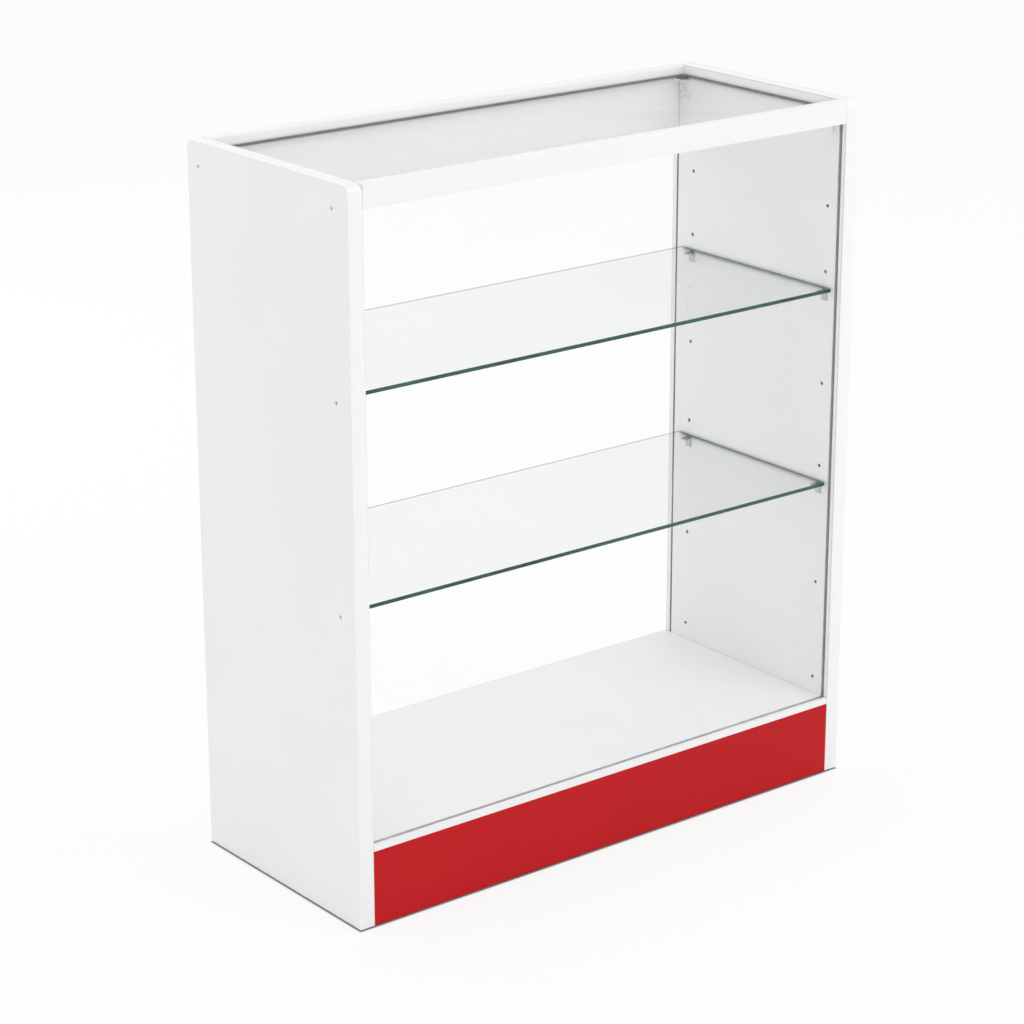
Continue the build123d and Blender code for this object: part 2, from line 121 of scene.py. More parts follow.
class Side(Enum):
    """A side of the counter, with the way that it faces along X."""

    LEFT = -1
    RIGHT = 1

    @property
    def word(self) -> str:
        """The side's name as nodes spell it."""
        return self.name.lower()


class Graph:
    """A node tree, with short calls for the nodes that the finishes share."""

    def __init__(self, tree: bpy.types.NodeTree, output: str) -> None:
        """Empties a tree and gives it an output.

        Args:
            tree: the tree of a material or a world.
            output: the output node's type, without its ShaderNode prefix.
        """
        self.tree = tree
        self.tree.nodes.clear()
        self.output = self.add(output)

    def put(self, socket: Socket, value: Value) -> None:
        """Links a socket to another, or sets its own value.

        Args:
            socket: an input of a node.
            value: a node's output, or a number, colour or vector.
        """
        if isinstance(value, Socket):
            self.tree.links.new(value, socket)
        elif socket.type == "RGBA" and len(value) == 3:
            socket.default_value = (*value, 1.0)
        else:
            socket.default_value = value

    def add(self, kind: str, inputs: Optional[dict] = None, **settings) -> bpy.types.Node:
        """Adds a node.

        Args:
            kind: the node's type, without its ShaderNode prefix.
            inputs: values or sockets for its inputs, by name or place.
            settings: its properties.

        Returns:
            The node.
        """
        node = self.tree.nodes.new("ShaderNode" + kind)
        for key, value in settings.items():
            setattr(node, key, value)
        for key, value in (inputs or {}).items():
            self.put(node.inputs[key], value)
        return node

    def show(self, shader: Socket) -> None:
        """Shows a shader on the surface."""
        self.put(self.output.inputs["Surface"], shader)

    def math(self, operation: str, a: Value, b: Value = 0.0) -> Socket:
        """The result of a Math node."""
        return self.add("Math", {0: a, 1: b}, operation=operation).outputs[0]

    def plus(self, a: Value, b: Value) -> Socket:
        """The sum of two numbers."""
        return self.math("ADD", a, b)

    def minus(self, a: Value, b: Value) -> Socket:
        """The first number less the second."""
        return self.math("SUBTRACT", a, b)

    def times(self, a: Value, b: Value) -> Socket:
        """The product of two numbers."""
        return self.math("MULTIPLY", a, b)

    def larger(self, a: Value, b: Value) -> Socket:
        """The larger of two numbers."""
        return self.math("MAXIMUM", a, b)

    def smaller(self, a: Value, b: Value) -> Socket:
        """The smaller of two numbers."""
        return self.math("MINIMUM", a, b)

    def span(self, value: Value, low: float, high: float, out_low: float = 0.0,
             out_high: float = 1.0) -> Socket:
        """Maps low to high smoothly onto another range, held at its ends."""
        inputs = {"Value": value, "From Min": low, "From Max": high, "To Min": out_low, "To Max": out_high}
        return self.add("MapRange", inputs, interpolation_type="SMOOTHSTEP").outputs[0]

    def spread(self, noise: Value, out_low: float = 0.0, out_high: float = 1.0) -> Socket:
        """Maps the usual range of a noise pattern smoothly onto another range."""
        return self.span(noise, *NOISE_SPREAD, out_low, out_high)

    def mix(self, share: Value, a: Value, b: Value) -> Socket:
        """A mix of two colours: a at share 0, b at share 1."""
        return self.add("Mix", {0: share, 6: a, 7: b}, data_type="RGBA").outputs[2]

    def between(self, share: Value, a: Value, b: Value) -> Socket:
        """A mix of two numbers: a at share 0, b at share 1."""
        return self.add("Mix", {0: share, 2: a, 3: b}).outputs[0]

    def mix_shaders(self, share: Value, a: Socket, b: Socket) -> Socket:
        """A mix of two shaders: a at share 0, b at share 1."""
        return self.add("MixShader", {0: share, 1: a, 2: b}).outputs[0]

    def coords(self, stretch: Triple = EVEN) -> Socket:
        """The piece's own coordinates in metres, each times its stretch."""
        place = self.add("TexCoord").outputs["Object"]
        return self.add("Mapping", {"Vector": place, "Scale": stretch}).outputs[0]

    def place(self) -> Sequence[Socket]:
        """The piece's own coordinates in metres, one socket for each axis."""
        return self.add("SeparateXYZ", {0: self.coords()}).outputs

    def noise(self, size: float, stretch: Triple = EVEN, detail: float = 3.0, rough: float = 0.5) -> Socket:
        """A noise pattern.

        Args:
            size: how large its blobs are, in metres.
            stretch: how much finer it is along each axis.
            detail: how many finer layers it has.
            rough: how strong those layers are.

        Returns:
            The socket of its value, about 0.5 on average.
        """
        inputs = {"Vector": self.coords(stretch), "Scale": 1.0 / size, "Detail": detail, "Roughness": rough}
        return self.add("TexNoise", inputs).outputs["Fac"]

    def cells(self, size: float, stretch: Triple = EVEN) -> bpy.types.Node:
        """A pattern of cells of about that size in metres."""
        return self.add("TexVoronoi", {"Vector": self.coords(stretch), "Scale": 1.0 / size})

    def cell_tones(self, size: float, stretch: Triple = EVEN) -> Socket:
        """A number from 0 to 1 for each cell of such a pattern."""
        colour = self.cells(size, stretch).outputs["Color"]
        return self.add("SeparateColor", {0: colour}).outputs[0]

    def bump(self, height: Value, depth: float, strength: float, below: Optional[Socket] = None) -> Socket:
        """A bumped normal.

        Args:
            height: the pattern, from 0 to 1.
            depth: how deep the pattern is, in metres.
            strength: the share of it that shows.
            below: a normal that it lies on.

        Returns:
            The socket of the normal.
        """
        inputs = {"Height": height, "Distance": depth, "Strength": strength}
        if below is not None:
            inputs["Normal"] = below
        return self.add("Bump", inputs).outputs[0]

    def depths(self, box: Box) -> list[Socket]:
        """How deep a point of a box-shaped piece lies behind the nearer faces.

        Args:
            box: the box round the piece.

        Returns:
            A depth in metres along each axis.
        """
        place = self.place()
        offsets = [self.math("ABSOLUTE", self.minus(place[i], box.centre[i])) for i in range(3)]
        return [self.minus(box.size[i] / 2, offsets[i]) for i in range(3)]

    def edge_nearness(self, depths: Sequence[Socket], width: float) -> Socket:
        """How near a point of a box-shaped piece is to one of its edges.

        Args:
            depths: the point's depths behind the box's faces.
            width: how far from an edge the value falls to nothing.

        Returns:
            1 on an edge, 0 beyond width.
        """
        x, y, z = depths
        middle = self.larger(self.smaller(x, y), self.smaller(self.larger(x, y), z))
        return self.span(middle, 0.0, width, 1.0, 0.0)

    def surface(self, inputs: dict) -> Socket:
        """A Principled shader with those inputs."""
        return self.add("BsdfPrincipled", inputs).outputs[0]


class Paint(Graph):
    """The node tree of a new material."""

    def __init__(self, name: str) -> None:
        """Starts an empty material.

        Args:
            name: the material's name.
        """
        self.material = bpy.data.materials.new(name)
        self.material.use_nodes = True
        super().__init__(self.material.node_tree, "OutputMaterial")

    def finish(self, shader: Socket) -> bpy.types.Material:
        """Shows shader on the surface and returns the material."""
        self.show(shader)
        return self.material


@dataclass(frozen=True)
class Seam:
    """Painted shade: a thin dark line along a joint, standing in for the shadow in its corner, the same on
    both sides of the counter's middle.
    """

    axis: Axis
    at: float
    width: float = 0.9 * MM
    # dark: the share of painted shade in the middle of the line
    dark: float = 0.45
    # the colour of the painted shade in the joint
    shade_colour: Colour = (0.12, 0.12, 0.12)

    def over(self, graph: Graph, base: Value) -> Socket:
        """Paints the shade line on a colour.

        Args:
            graph: the material's node tree.
            base: the colour under the line.

        Returns:
            The colour with the line on it.
        """
        place = graph.place()[self.axis.value]
        away = graph.math("ABSOLUTE", graph.minus(graph.math("ABSOLUTE", place), self.at))
        share = graph.span(away, self.width / 2, self.width, self.dark, 0.0)
        # darkens the colour towards the painted shade along the joint
        return graph.mix(share, base, self.shade_colour)


@dataclass(frozen=True)
class Finish(ABC):
    """The look of one material, made once and shared by every piece that wears it."""

    name: str
    made: ClassVar[dict[str, bpy.types.Material]] = {}

    def material(self) -> bpy.types.Material:
        """Makes the material the first time that it is asked for.

        Returns:
            The finish as a material.
        """
        if self.name not in Finish.made:
            Finish.made[self.name] = self.build(Paint(self.name))
        return Finish.made[self.name]

    @abstractmethod
    def build(self, graph: Paint) -> bpy.types.Material:
        """Fills the material's node tree and returns the material."""


@dataclass(frozen=True)
class FacedBoard(Finish):
    """Melamine-faced chipboard: pearl texture, faint clouds, worn edges, a raw core in its cuts and, where
    given, a painted shade line at a joint.
    """

    colour: Colour
    worn_colour: Colour
    box: Box
    looks: Axis
    cloud: float = 0.014
    cloud_size: float = 0.22
    roughness: float = 0.46
    specular: float = 0.4
    pearl_size: float = 1.3 * MM
    pearl_depth: float = 0.018 * MM
    pearl_strength: float = 0.6
    pearl_rough: float = 0.08
    peel_size: float = 14.0 * MM
    peel_depth: float = 0.02 * MM
    peel_strength: float = 0.4
    wear: float = 0.35
    wear_width: float = 2.5 * MM
    wear_rough: float = 0.12
    scuff_size: float = 9.0 * MM
    scuff_spread: Pair = (0.45, 0.7)
    face_thickness: float = 0.25 * MM
    core_pale: Colour = (0.58, 0.54, 0.48)
    core_dark: Colour = (0.37, 0.34, 0.29)
    core_rough: float = 0.8
    chip_size: float = 2.4 * MM
    chip_stretch: Triple = (1.0, 0.4, 1.0)
    # an optional line of painted shade along a joint
    joint_shade: Optional[Seam] = None

    def core(self, graph: Paint) -> Socket:
        """The colour of the pressed wood chips inside the board."""
        return graph.mix(graph.cell_tones(self.chip_size, self.chip_stretch), self.core_pale, self.core_dark)

    def build(self, graph: Paint) -> bpy.types.Material:
        """Face colour with clouds and worn edges, and the core wherever a cut goes below the face.

        Args:
            graph: the empty node tree.

        Returns:
            The material.
        """
        depths = graph.depths(self.box)
        cut = graph.math("GREATER_THAN", depths[self.looks.value], self.face_thickness)
        clouds = graph.spread(graph.noise(self.cloud_size, detail=4.0))
        base = graph.mix(clouds, self.colour, scaled(self.colour, 1.0 - 2.0 * self.cloud))
        scuffs = graph.span(graph.noise(self.scuff_size, detail=5.0), *self.scuff_spread)
        worn = graph.times(graph.edge_nearness(depths, self.wear_width), scuffs)
        base = graph.mix(graph.times(worn, self.wear), base, self.worn_colour)
        # painted shade along a joint, where one is given
        if self.joint_shade:
            base = self.joint_shade.over(graph, base)
        pearl = graph.noise(self.pearl_size, detail=2.0)
        rough = graph.plus(graph.times(pearl, self.pearl_rough), self.roughness - self.pearl_rough / 2)
        rough = graph.plus(rough, graph.times(worn, self.wear_rough))
        peel = graph.bump(graph.noise(self.peel_size, detail=1.0), self.peel_depth, self.peel_strength)
        return graph.finish(graph.surface({
            "Base Color": graph.mix(cut, base, self.core(graph)),
            "Roughness": graph.larger(rough, graph.times(cut, self.core_rough)),
            "Specular IOR Level": self.specular,
            "Normal": graph.bump(pearl, self.pearl_depth, self.pearl_strength, peel),
        }))


@dataclass(frozen=True)
class BandedEdge(Finish):
    """Edge band: satin plastic with faint streaks along its length and a duller, handled look."""

    colour: Colour
    darkening: float = 0.975
    roughness: float = 0.36
    specular: float = 0.45
    streak_size: float = 1.1 * MM
    streak_stretch: Triple = (1.0, 0.02, 0.02)
    streak_spread: Pair = (0.35, 0.75)
    streak_depth: float = 0.012 * MM
    streak_strength: float = 0.6
    handled_size: float = 60.0 * MM
    handled_rough: float = 0.12
    # an optional line of painted shade along a joint
    joint_shade: Optional[Seam] = None

    def build(self, graph: Paint) -> bpy.types.Material:
        """Streaks run along the band, because they are fine only across its width.

        Args:
            graph: the empty node tree.

        Returns:
            The material.
        """
        streaks = graph.noise(self.streak_size, self.streak_stretch, detail=2.0)
        handled = graph.span(graph.noise(self.handled_size, detail=5.0), *self.streak_spread)
        shade = graph.span(streaks, *self.streak_spread)
        base = graph.mix(shade, self.colour, scaled(self.colour, self.darkening))
        # painted shade along a joint, where one is given
        if self.joint_shade:
            base = self.joint_shade.over(graph, base)
        return graph.finish(graph.surface({
            "Base Color": base,
            "Roughness": graph.plus(graph.times(handled, self.handled_rough), self.roughness),
            "Specular IOR Level": self.specular,
            "Normal": graph.bump(streaks, self.streak_depth, self.streak_strength),
        }))


@dataclass(frozen=True)
class Lacquer(Finish):
    """Sprayed white lacquer on a rail: soft orange peel and a little nib here and there."""

    colour: Colour
    darkening: float = 0.978
    drift_size: float = 0.16
    gloss_size: float = 40.0 * MM
    roughness: Pair = (0.34, 0.43)
    specular: float = 0.45
    strength: float = 0.5
    peel_size: float = 3.0 * MM
    peel_depth: float = 0.02 * MM
    nib_size: float = 22.0 * MM
    nib_share: float = 0.04
    nib_depth: float = 0.03 * MM

    def build(self, graph: Paint) -> bpy.types.Material:
        """Peel and nibs in the bump, and a colour that drifts a little along the rail.

        Args:
            graph: the empty node tree.

        Returns:
            The material.
        """
        drift = graph.spread(graph.noise(self.drift_size))
        peel = graph.bump(graph.noise(self.peel_size, detail=2.0), self.peel_depth, self.strength)
        nibs = graph.span(graph.cells(self.nib_size).outputs["Distance"], 0.0, self.nib_share, 1.0, 0.0)
        return graph.finish(graph.surface({
            "Base Color": graph.mix(drift, self.colour, scaled(self.colour, self.darkening)),
            "Roughness": graph.spread(graph.noise(self.gloss_size), *self.roughness),
            "Specular IOR Level": self.specular,
            "Normal": graph.bump(nibs, self.nib_depth, self.strength, peel),
        }))


@dataclass(frozen=True)
class ThinBoard(Finish):
    """White-faced hardboard: a smooth face over faint fibres, with a painted shade line at its joint."""

    colour: Colour
    # the line of painted shade where the fascia meets the side boards
    joint_shade: Seam
    darkening: float = 0.96
    roughness: Pair = (0.5, 0.62)
    specular: float = 0.35
    fibre_size: float = 2.2 * MM
    fibre_stretch: Triple = (1.0, 1.0, 0.35)
    fibre_depth: float = 0.03 * MM
    fibre_strength: float = 0.5
    mottle: float = 0.6
    mottle_spread: Pair = (0.3, 0.75)

    def build(self, graph: Paint) -> bpy.types.Material:
        """Fibres show as soft mottling in the colour and the bump.

        Args:
            graph: the empty node tree.

        Returns:
            The material.
        """
        fibres = graph.noise(self.fibre_size, self.fibre_stretch, detail=4.0, rough=0.6)
        mottle = graph.times(graph.span(fibres, *self.mottle_spread), self.mottle)
        base = graph.mix(mottle, self.colour, scaled(self.colour, self.darkening))
        return graph.finish(graph.surface({
            # the colour carries the painted shade line at the joint
            "Base Color": self.joint_shade.over(graph, base),
            "Roughness": graph.spread(fibres, *self.roughness),
            "Specular IOR Level": self.specular,
            "Normal": graph.bump(fibres, self.fibre_depth, self.fibre_strength),
        }))


@dataclass(frozen=True)
class GlassFace(Finish):
    """The broad faces of a pane: clear, mirror-like at a glancing angle, with a trace of film."""

    clear: Colour
    ior: float = 1.5
    mirror: float = 0.22
    film: float = 0.012
    film_colour: Colour = (0.8, 0.83, 0.83)
    film_rough: float = 0.05
    smear_size: float = 90.0 * MM
    smear_stretch: Triple = (1.0, 0.6, 1.4)
    smear_spread: Pair = (0.48, 0.72)
    wave_size: float = 0.35
    wave_depth: float = 0.05 * MM
    wave_strength: float = 0.15

    def mirrored(self, graph: Paint) -> Socket:
        """How much light a face mirrors, the same from both of its sides.

        Args:
            graph: the material's node tree.

        Returns:
            The share of the mirrored light.
        """
        behind = graph.add("NewGeometry").outputs["Backfacing"]
        index = graph.minus(self.ior, graph.times(behind, self.ior - 1.0 / self.ior))
        return graph.times(graph.add("Fresnel", {"IOR": index}).outputs[0], self.mirror)

    def build(self, graph: Paint) -> bpy.types.Material:
        """Light passes straight through or is mirrored, and a little of it is caught by the film.

        Args:
            graph: the empty node tree.

        Returns:
            The material.
        """
        smears = graph.noise(self.smear_size, self.smear_stretch, detail=6.0, rough=0.6)
        smears = graph.span(smears, *self.smear_spread)
        waves = graph.noise(self.wave_size, detail=1.0)
        gloss = graph.add("BsdfAnisotropic", {
            "Color": PURE_WHITE,
            "Roughness": graph.times(smears, self.film_rough),
            "Normal": graph.bump(waves, self.wave_depth, self.wave_strength),
        }).outputs[0]
        clear = graph.add("BsdfTransparent", {"Color": self.clear}).outputs[0]
        glass = graph.mix_shaders(self.mirrored(graph), clear, gloss)
        film = graph.add("BsdfDiffuse", {"Color": self.film_colour}).outputs[0]
        return graph.finish(graph.mix_shaders(graph.times(smears, self.film), glass, film))


@dataclass(frozen=True)
class GlassEdge(Finish):
    """The polished edge of a pane: deep green from outside, a thin grey line from inside the glass."""

    box: Box
    looks: Axis
    deep: Colour = (0.008, 0.05, 0.036)
    bright: Colour = (0.028, 0.12, 0.088)
    line: Colour = (0.62, 0.64, 0.63)
    clear: Colour = (0.97, 0.98, 0.975)
    line_share: float = 0.34
    line_fade: float = 1.4
    roughness: Pair = (0.12, 0.24)
    specular: float = 0.25
    patch_size: float = 0.13
    streak_size: float = 1.2 * MM
    streak_stretch: Triple = (0.05, 0.05, 1.0)
    streak_share: float = 0.3
    streak_depth: float = 0.01 * MM
    streak_strength: float = 0.4

    def inside(self, graph: Paint) -> Socket:
        """What an edge lets through from inside: glass lifts the far part of an edge out of sight.

        Args:
            graph: the material's node tree.

        Returns:
            The colour of the light that passes.
        """
        way = self.looks.value
        below = graph.minus(self.box.hi[way], graph.place()[way])
        reach = self.box.size[way] * self.line_share
        return graph.mix(graph.span(below, reach, reach * self.line_fade), self.line, self.clear)

    def build(self, graph: Paint) -> bpy.types.Material:
        """Green in brighter and deeper patches, with the streaks of the grinding wheel.

        Args:
            graph: the empty node tree.

        Returns:
            The material.
        """
        patches = graph.spread(graph.noise(self.patch_size, detail=4.0, rough=0.6))
        streaks = graph.noise(self.streak_size, self.streak_stretch, detail=2.0)
        colour = graph.mix(patches, self.deep, self.bright)
        polish = graph.surface({
            "Base Color": graph.mix(graph.times(streaks, self.streak_share), colour, self.deep),
            "Roughness": graph.spread(streaks, *self.roughness),
            "Specular IOR Level": self.specular,
            "Normal": graph.bump(streaks, self.streak_depth, self.streak_strength),
        })
        through = graph.add("BsdfTransparent", {"Color": self.inside(graph)}).outputs[0]
        behind = graph.add("NewGeometry").outputs["Backfacing"]
        return graph.finish(graph.mix_shaders(behind, polish, through))


@dataclass(frozen=True)
class Extrusion(Finish):
    """Extruded glazing channel: matt, with fine lines along its length."""

    colour: Colour
    roughness: Pair = (0.5, 0.64)
    specular: float = 0.3
    line_size: float = 0.7 * MM
    line_stretch: Triple = (0.3, 1.0, 0.02)
    line_depth: float = 0.02 * MM
    line_strength: float = 0.5
    dust: float = 0.5
    dust_size: float = 30.0 * MM
    dust_spread: Pair = (0.5, 0.8)
    dust_gain: float = 1.5
    dust_lift: float = 0.02

    def build(self, graph: Paint) -> bpy.types.Material:
        """Die lines in the bump, and dust that lightens it in patches.

        Args:
            graph: the empty node tree.

        Returns:
            The material.
        """
        lines = graph.noise(self.line_size, self.line_stretch, detail=2.0)
        dust = graph.span(graph.noise(self.dust_size, detail=5.0), *self.dust_spread)
        dusty = tuple(min(1.0, part * self.dust_gain + self.dust_lift) for part in self.colour)
        return graph.finish(graph.surface({
            "Base Color": graph.mix(graph.times(dust, self.dust), self.colour, dusty),
            "Roughness": graph.spread(lines, *self.roughness),
            "Specular IOR Level": self.specular,
            "Normal": graph.bump(lines, self.line_depth, self.line_strength),
        }))


@dataclass(frozen=True)
class ZincPlate(Finish):
    """Bright zinc plate with a faint spangle, fine scratches and a dulled patch or two."""

    colour: Colour
    darkening: float = 0.72
    roughness: float = 0.3
    spangle_size: float = 1.6 * MM
    spangle_rough: float = 0.12
    dull: float = 0.6
    dull_size: float = 5.0 * MM
    dull_spread: Pair = (0.45, 0.7)
    dull_rough: float = 0.1
    scratch_size: float = 0.35 * MM
    scratch_stretch: Triple = (1.0, 0.15, 1.0)
    scratch_depth: float = 0.006 * MM
    scratch_strength: float = 0.5

    def build(self, graph: Paint) -> bpy.types.Material:
        """Spangle changes the roughness, scratches the bump, and dull patches the colour.

        Args:
            graph: the empty node tree.

        Returns:
            The material.
        """
        spangle = graph.cell_tones(self.spangle_size)
        scratches = graph.noise(self.scratch_size, self.scratch_stretch)
        dull = graph.span(graph.noise(self.dull_size, detail=4.0), *self.dull_spread)
        tarnish = graph.times(dull, self.dull)
        rough = graph.plus(graph.times(spangle, self.spangle_rough), self.roughness)
        return graph.finish(graph.surface({
            "Base Color": graph.mix(tarnish, self.colour, scaled(self.colour, self.darkening)),
            "Metallic": 1.0,
            "Roughness": graph.plus(rough, graph.times(dull, self.dull_rough)),
            "Normal": graph.bump(scratches, self.scratch_depth, self.scratch_strength),
        }))


@dataclass(frozen=True)
class Moulded(Finish):
    """Moulded plastic or rubber with a fine spark texture and a faint flow pattern."""

    colour: Colour
    darkening: float = 0.9
    roughness: float = 0.5
    rough_change: Pair = (-0.05, 0.07)
    specular: float = 0.4
    grain_size: float = 0.35 * MM
    grain_depth: float = 0.015 * MM
    grain_strength: float = 0.6
    flow_size: float = 8.0 * MM
    flow_stretch: Triple = (1.0, 0.5, 1.0)

    def build(self, graph: Paint) -> bpy.types.Material:
        """Grain in the bump and the roughness, and flow in the colour.

        Args:
            graph: the empty node tree.

        Returns:
            The material.
        """
        grain = graph.noise(self.grain_size, detail=2.0)
        flow = graph.spread(graph.noise(self.flow_size, self.flow_stretch, detail=4.0))
        low, high = (self.roughness + change for change in self.rough_change)
        return graph.finish(graph.surface({
            "Base Color": graph.mix(flow, self.colour, scaled(self.colour, self.darkening)),
            "Roughness": graph.spread(grain, low, high),
            "Specular IOR Level": self.specular,
            "Normal": graph.bump(grain, self.grain_depth, self.grain_strength),
        }))


@dataclass(frozen=True)
class Beech(Finish):
    """Unfinished beech dowel: pale pink-brown with short dark flecks and flutes."""

    pale: Colour = (0.66, 0.45, 0.28)
    dark: Colour = (0.46, 0.27, 0.14)
    roughness: Pair = (0.6, 0.75)
    specular: float = 0.3
    grain_size: float = 0.9 * MM
    grain_stretch: Triple = (0.12, 1.0, 1.0)
    grain_depth: float = 0.05 * MM
    grain_strength: float = 0.7
    fleck: float = 0.5
    fleck_size: float = 0.5 * MM
    fleck_stretch: Triple = (0.2, 1.0, 1.0)
    fleck_spread: Pair = (0.62, 0.7)

    def build(self, graph: Paint) -> bpy.types.Material:
        """Grain and flecks run along the dowel, which lies across the counter.

        Args:
            graph: the empty node tree.

        Returns:
            The material.
        """
        grain = graph.noise(self.grain_size, self.grain_stretch, detail=4.0, rough=0.6)
        flecks = graph.noise(self.fleck_size, self.fleck_stretch, detail=1.0)
        flecks = graph.times(graph.span(flecks, *self.fleck_spread), self.fleck)
        base = graph.mix(graph.spread(grain), self.pale, self.dark)
        return graph.finish(graph.surface({
            "Base Color": graph.mix(flecks, base, self.dark),
            "Roughness": graph.spread(grain, *self.roughness),
            "Specular IOR Level": self.specular,
            "Normal": graph.bump(grain, self.grain_depth, self.grain_strength),
        }))


class Shape:
    """A mesh under construction, in the frame's own metres."""

    def __init__(self) -> None:
        """Starts with nothing."""
        self.bm = bmesh.new()

    def ring(self, points: Iterable[Vector]) -> list[bmesh.types.BMVert]:
        """Adds the points of one ring."""
        return [self.bm.verts.new(point) for point in points]

    def bridge(self, a: list[bmesh.types.BMVert], b: list[bmesh.types.BMVert], slot: int) -> None:
        """Joins two closed rings by a band of four-sided faces.

        Args:
            a: one ring.
            b: the other, with as many points.
            slot: the faces' material slot.
        """
        for i in range(len(a)):
            j = (i + 1) % len(a)
            self.bm.faces.new((a[i], a[j], b[j], b[i])).material_index = slot

    def tube(self, rings: Sequence[list[bmesh.types.BMVert]], side_slot: int, end_slot: int) -> None:
        """Joins rings in a row and closes both ends.

        Args:
            rings: closed rings, each with as many points.
            side_slot: the material slot of the faces between the rings.
            end_slot: the material slot of the two ends.
        """
        for near, far in zip(rings, rings[1:]):
            self.bridge(near, far, side_slot)
        for end in (rings[0], rings[-1]):
            self.bm.faces.new(end).material_index = end_slot

    def slab_ring(self, box: Box, axis: Axis, height: float, corner: float, radius: float,
                  steps: int) -> list[bmesh.types.BMVert]:
        """A rounded rectangle across a box.

        Args:
            box: the box.
            axis: the way that the rectangle looks.
            height: its place along that axis.
            corner: how far its corners' centres lie inside the box.
            radius: the radius of its corners.
            steps: faces round each corner.

        Returns:
            The ring's points.
        """
        across = [i for i in range(3) if i != axis.value]
        points = []
        for quarter in range(4):
            way = (1 if quarter in (0, 3) else -1, 1 if quarter < 2 else -1)
            for step in range(steps + 1):
                angle = (quarter + step / steps) * QUARTER_TURN
                point = box.centre.copy()
                point[axis.value] = height
                for k, reach in enumerate((math.cos(angle), math.sin(angle))):
                    point[across[k]] += way[k] * (box.size[across[k]] / 2 - corner) + radius * reach
                points.append(point)
        return self.ring(points)

    def slab(self, box: Box, axis: Axis, corner: float, arris: float, corner_steps: int = 4,
             arris_steps: int = 3) -> None:
        """A pane with rounded corners and a rounded arris: its faces in slot 0, its rim in slot 1.

        Args:
            box: the space that it fills.
            axis: the way that its broad faces look.
            corner: the radius of its corners.
            arris: the radius of its edges.
            corner_steps: faces round each corner.
            arris_steps: faces round each edge.
        """
        turns = [(step / arris_steps) * QUARTER_TURN for step in range(arris_steps + 1)]
        rises = [(arris * (1 - math.sin(turn)), arris * (1 - math.cos(turn))) for turn in turns]
        stations = [(box.lo[axis.value] + rise, inset) for rise, inset in reversed(rises)]
        stations += [(box.hi[axis.value] - rise, inset) for rise, inset in rises]
        rings = [
            self.slab_ring(box, axis, height, corner, corner - inset, corner_steps)
            for height, inset in stations
        ]
        self.tube(rings, side_slot=1, end_slot=0)

    def sweep(self, profile: Sequence[Pair], stations: Sequence[tuple[Vector, Vector, Vector]]) -> None:
        """Carries a closed profile along a path and closes its ends.

        Args:
            profile: points as (across, outward) distances.
            stations: each a place with its across and outward directions.
        """
        rings = [
            self.ring(place + across * u + outward * v for u, v in profile)
            for place, across, outward in stations
        ]
        self.tube(rings, side_slot=0, end_slot=0)

    def piece(self, name: str, finishes: Sequence[Finish], sharp_degrees: float = 40.0) -> bpy.types.Object:
        """Turns the shape into an object.

        Args:
            name: the piece's name.
            finishes: one for each material slot.
            sharp_degrees: edges that turn by more than this stay sharp.

        Returns:
            The object, linked into the scene.
        """
        bmesh.ops.recalc_face_normals(self.bm, faces=self.bm.faces)
        mesh = bpy.data.meshes.new(name)
        self.bm.to_mesh(mesh)
        self.bm.free()
        for polygon in mesh.polygons:
            polygon.use_smooth = True
        mesh.set_sharp_from_angle(angle=math.radians(sharp_degrees))
        for finish in finishes:
            mesh.materials.append(finish.material())
        made = bpy.data.objects.new(name, mesh)
        bpy.context.scene.collection.objects.link(made)
        return made


@dataclass
class SubAssembly(ABC):
    """A group of pieces that are built and dressed together."""

    weld_gap: ClassVar[float] = 0.005 * MM
    bevel_steps: ClassVar[int] = 2
    bevel_degrees: ClassVar[float] = 50.0
    screw: ClassVar[Finish] = ZincPlate("zinc_screw", (0.72, 0.72, 0.7))
    body: str = "root"
    names: list[str] = field(default_factory=list)

    def dress(self, node: str, finish: Finish) -> bpy.types.Object:
        """Gives a node its finish.

        Args:
            node: the node's name.
            finish: what it wears.

        Returns:
            The node's object.
        """
        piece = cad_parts[node]
        for slot in piece.material_slots:
            slot.material = finish.material()
        self.names.append(node)
        return piece

    def soften(self, piece: bpy.types.Object, radius: float) -> None:
        """Rounds the sharp edges of a node, which keeps its own mesh.

        Args:
            piece: the node's object.
            radius: how wide the rounding is.
        """
        weld = piece.modifiers.new("joined_faces", "WELD")
        weld.merge_threshold = self.weld_gap
        bevel = piece.modifiers.new("soft_edges", "BEVEL")
        bevel.width = radius
        bevel.segments = self.bevel_steps
        bevel.limit_method = "ANGLE"
        bevel.angle_limit = math.radians(self.bevel_degrees)
        bevel.use_clamp_overlap = True

    def replace(self, piece: bpy.types.Object, node: str, slot: str) -> None:
        """Lets a finer piece stand for a node, on this sub-assembly's body.

        Args:
            piece: the finer piece.
            node: the node that it stands for.
            slot: the material slot that it fills; not used.
        """
        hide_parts(node)
        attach(piece, self.body)
        self.names.append(piece.name)

    @abstractmethod
    def build(self) -> None:
        """Makes and dresses every piece."""

    def report(self) -> None:
        """Logs each piece."""
        for name in self.names:
            LOG.info("%s: %s on %s", type(self).__name__, name, self.body)


